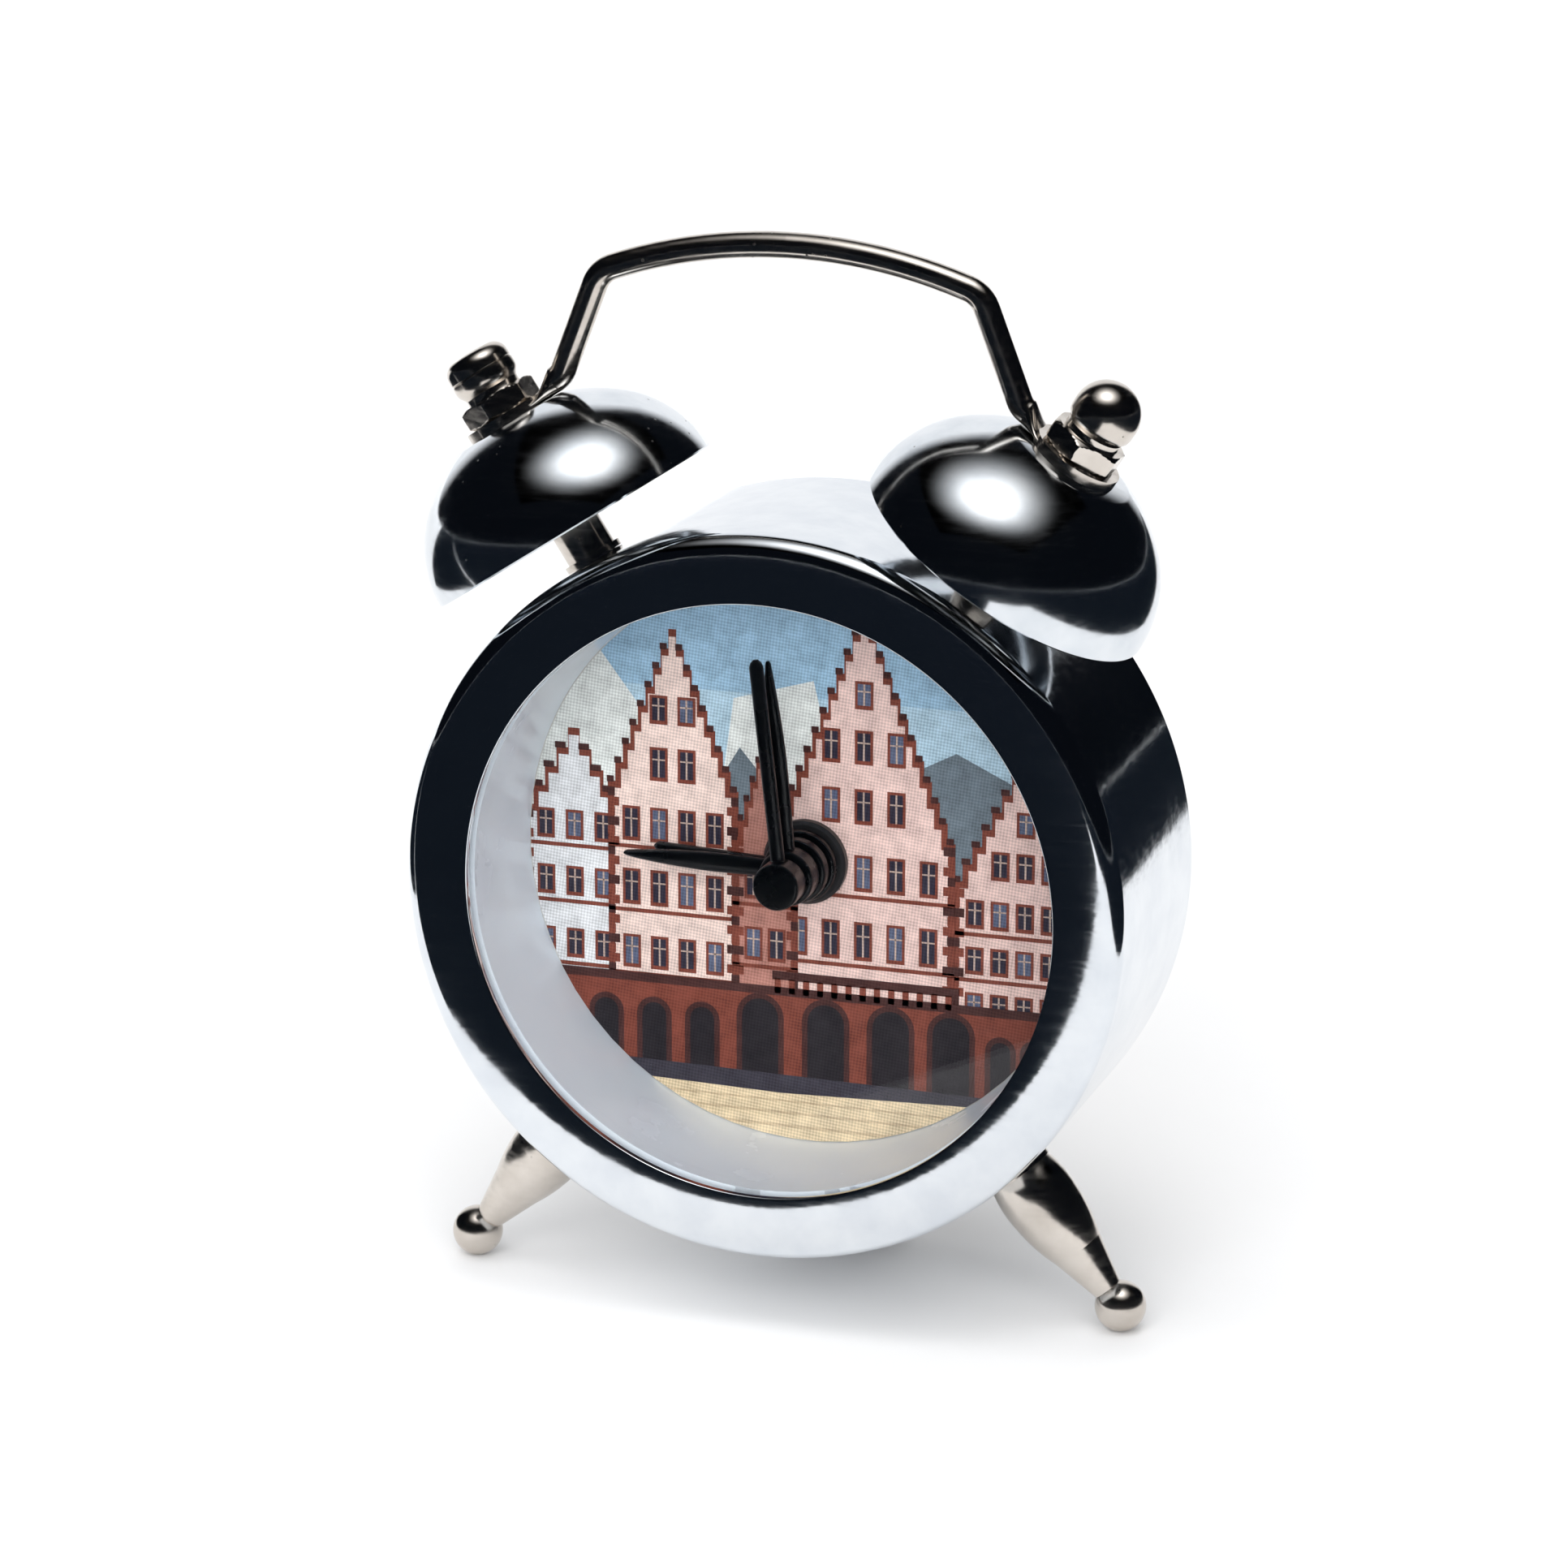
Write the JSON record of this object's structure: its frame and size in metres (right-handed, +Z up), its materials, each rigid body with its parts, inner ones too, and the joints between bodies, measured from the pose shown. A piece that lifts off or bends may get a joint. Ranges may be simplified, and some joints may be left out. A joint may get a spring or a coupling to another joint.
{
  "type": "alarm clock",
  "caption": "Small battery alarm clock with twin decorative bells under a wire bow, a chromed drum case, picture dial and turned legs.",
  "frame": {"origin": "on the floor under the middle of the clock's bounding box", "axes": "+Z up, +X to the right seen from the front, +Y from the dial to the back; the dial faces -Y"},
  "size_m": [0.0572, 0.0308, 0.0844],
  "materials": {
    "chrome": "bright chrome plate on pressed steel",
    "nickel": "warm bright nickel plate",
    "steel": "plain zinc-plated steel",
    "clear_plastic": "clear polystyrene",
    "white_plastic": "white moulded plastic",
    "printed_card": "halftone colour print under a satin coat",
    "black_plastic": "fine-grained black moulded plastic",
    "gear_plastic": "natural acetal",
    "magnet": "bonded magnet on a plastic pinion",
    "copper": "enamelled copper wire",
    "board": "brown phenolic circuit board"
  },
  "bodies": {
    "case": {"case_shell": "chrome", "bell_left": "chrome", "bell_right": "chrome", "cap_nuts": "nickel", "handle": "nickel", "leg_left": "nickel", "leg_right": "nickel", "leg_washers": "nickel", "bell_washers": "nickel", "bell_sleeves": "nickel", "bell_studs": "steel", "bell_nuts": "steel", "leg_nuts": "steel", "lens": "clear_plastic", "dial_ring": "white_plastic", "dial": "printed_card", "dial_collar": "black_plastic", "movement_base": "black_plastic", "movement_middle_plate": "white_plastic", "movement_rear_plate": "white_plastic", "movement_screws": "steel", "stator": "steel", "coil_bobbin": "white_plastic", "coil_winding": "copper", "circuit_board": "board", "chip": "black_plastic", "buzzer": "black_plastic", "battery": "steel", "battery_contact_negative": "steel", "battery_contact_positive": "steel", "back_cover": "black_plastic", "switch_contact": "steel"},
    "second": {"second_wheel": "gear_plastic", "second_hand": "black_plastic"},
    "third": {"third_wheel": "gear_plastic"},
    "centre": {"centre_wheel": "gear_plastic"},
    "minute": {"cannon_pinion": "gear_plastic", "minute_hand": "black_plastic"},
    "motion": {"minute_wheel": "gear_plastic", "time_set_knob": "black_plastic"},
    "hour": {"hour_wheel": "gear_plastic", "hour_hand": "black_plastic"},
    "step": {"step_wheel": "gear_plastic"},
    "rotor_body": {"rotor": "magnet"},
    "alarm": {"alarm_wheel": "gear_plastic", "alarm_hand": "black_plastic"},
    "alarm_set": {"alarm_pinion": "gear_plastic", "alarm_set_knob": "black_plastic"},
    "switch": {"alarm_switch": "black_plastic"},
    "hatch": {"battery_hatch": "black_plastic"}
  },
  "joints": [
    {"name": "second_hand_turn", "type": "hinge", "parent": "case", "child": "second", "pos_m": [0, 0.00635, 0.03439], "axis": [0, 1, 0], "continuous": true},
    {"name": "third_wheel_turn", "type": "hinge", "parent": "case", "child": "third", "pos_m": [0, 0.00635, 0.04339], "axis": [0, 1, 0], "continuous": true},
    {"name": "centre_wheel_turn", "type": "hinge", "parent": "case", "child": "centre", "pos_m": [0, 0.00635, 0.03439], "axis": [0, 1, 0], "continuous": true},
    {"name": "step_wheel_turn", "type": "hinge", "parent": "case", "child": "step", "pos_m": [-0.00205, 0.00635, 0.02875], "axis": [0, 1, 0], "continuous": true},
    {"name": "rotor_turn", "type": "hinge", "parent": "case", "child": "rotor_body", "pos_m": [-0.00505, 0.00635, 0.02355], "axis": [0, 1, 0], "continuous": true},
    {"name": "minute_hand_turn", "type": "hinge", "parent": "case", "child": "minute", "pos_m": [0, 0.00635, 0.03439], "axis": [0, 1, 0], "continuous": true},
    {"name": "hour_hand_turn", "type": "hinge", "parent": "case", "child": "hour", "pos_m": [0, 0.00635, 0.03439], "axis": [0, 1, 0], "continuous": true},
    {"name": "time_knob_turn", "type": "hinge", "parent": "case", "child": "motion", "pos_m": [-0.00894, 0.00635, 0.03729], "axis": [0, 1, 0], "continuous": true},
    {"name": "alarm_knob_turn", "type": "hinge", "parent": "case", "child": "alarm_set", "pos_m": [0.00975, 0.00635, 0.03737], "axis": [0, 1, 0], "continuous": true},
    {"name": "alarm_hand_turn", "type": "hinge", "parent": "case", "child": "alarm", "pos_m": [0, 0.00635, 0.03439], "axis": [0, 1, 0], "continuous": true},
    {"name": "alarm_switch_slide", "type": "slide", "parent": "case", "child": "switch", "axis": [1, 0, 0], "range_m": [0, 0.003]},
    {"name": "battery_hatch_pull", "type": "slide", "parent": "case", "child": "hatch", "axis": [0, 1, 0], "range_m": [0, 0.008]}
  ],
  "couplings": [
    {"joint": "third_wheel_turn", "follows": "second_hand_turn", "ratio": -0.13333},
    {"joint": "centre_wheel_turn", "follows": "second_hand_turn", "ratio": 0.016667},
    {"joint": "step_wheel_turn", "follows": "second_hand_turn", "ratio": -5},
    {"joint": "rotor_turn", "follows": "second_hand_turn", "ratio": 30},
    {"joint": "hour_hand_turn", "follows": "minute_hand_turn", "ratio": 0.083333},
    {"joint": "time_knob_turn", "follows": "minute_hand_turn", "ratio": -0.33333},
    {"joint": "alarm_hand_turn", "follows": "alarm_knob_turn", "ratio": -0.25}
  ]
}
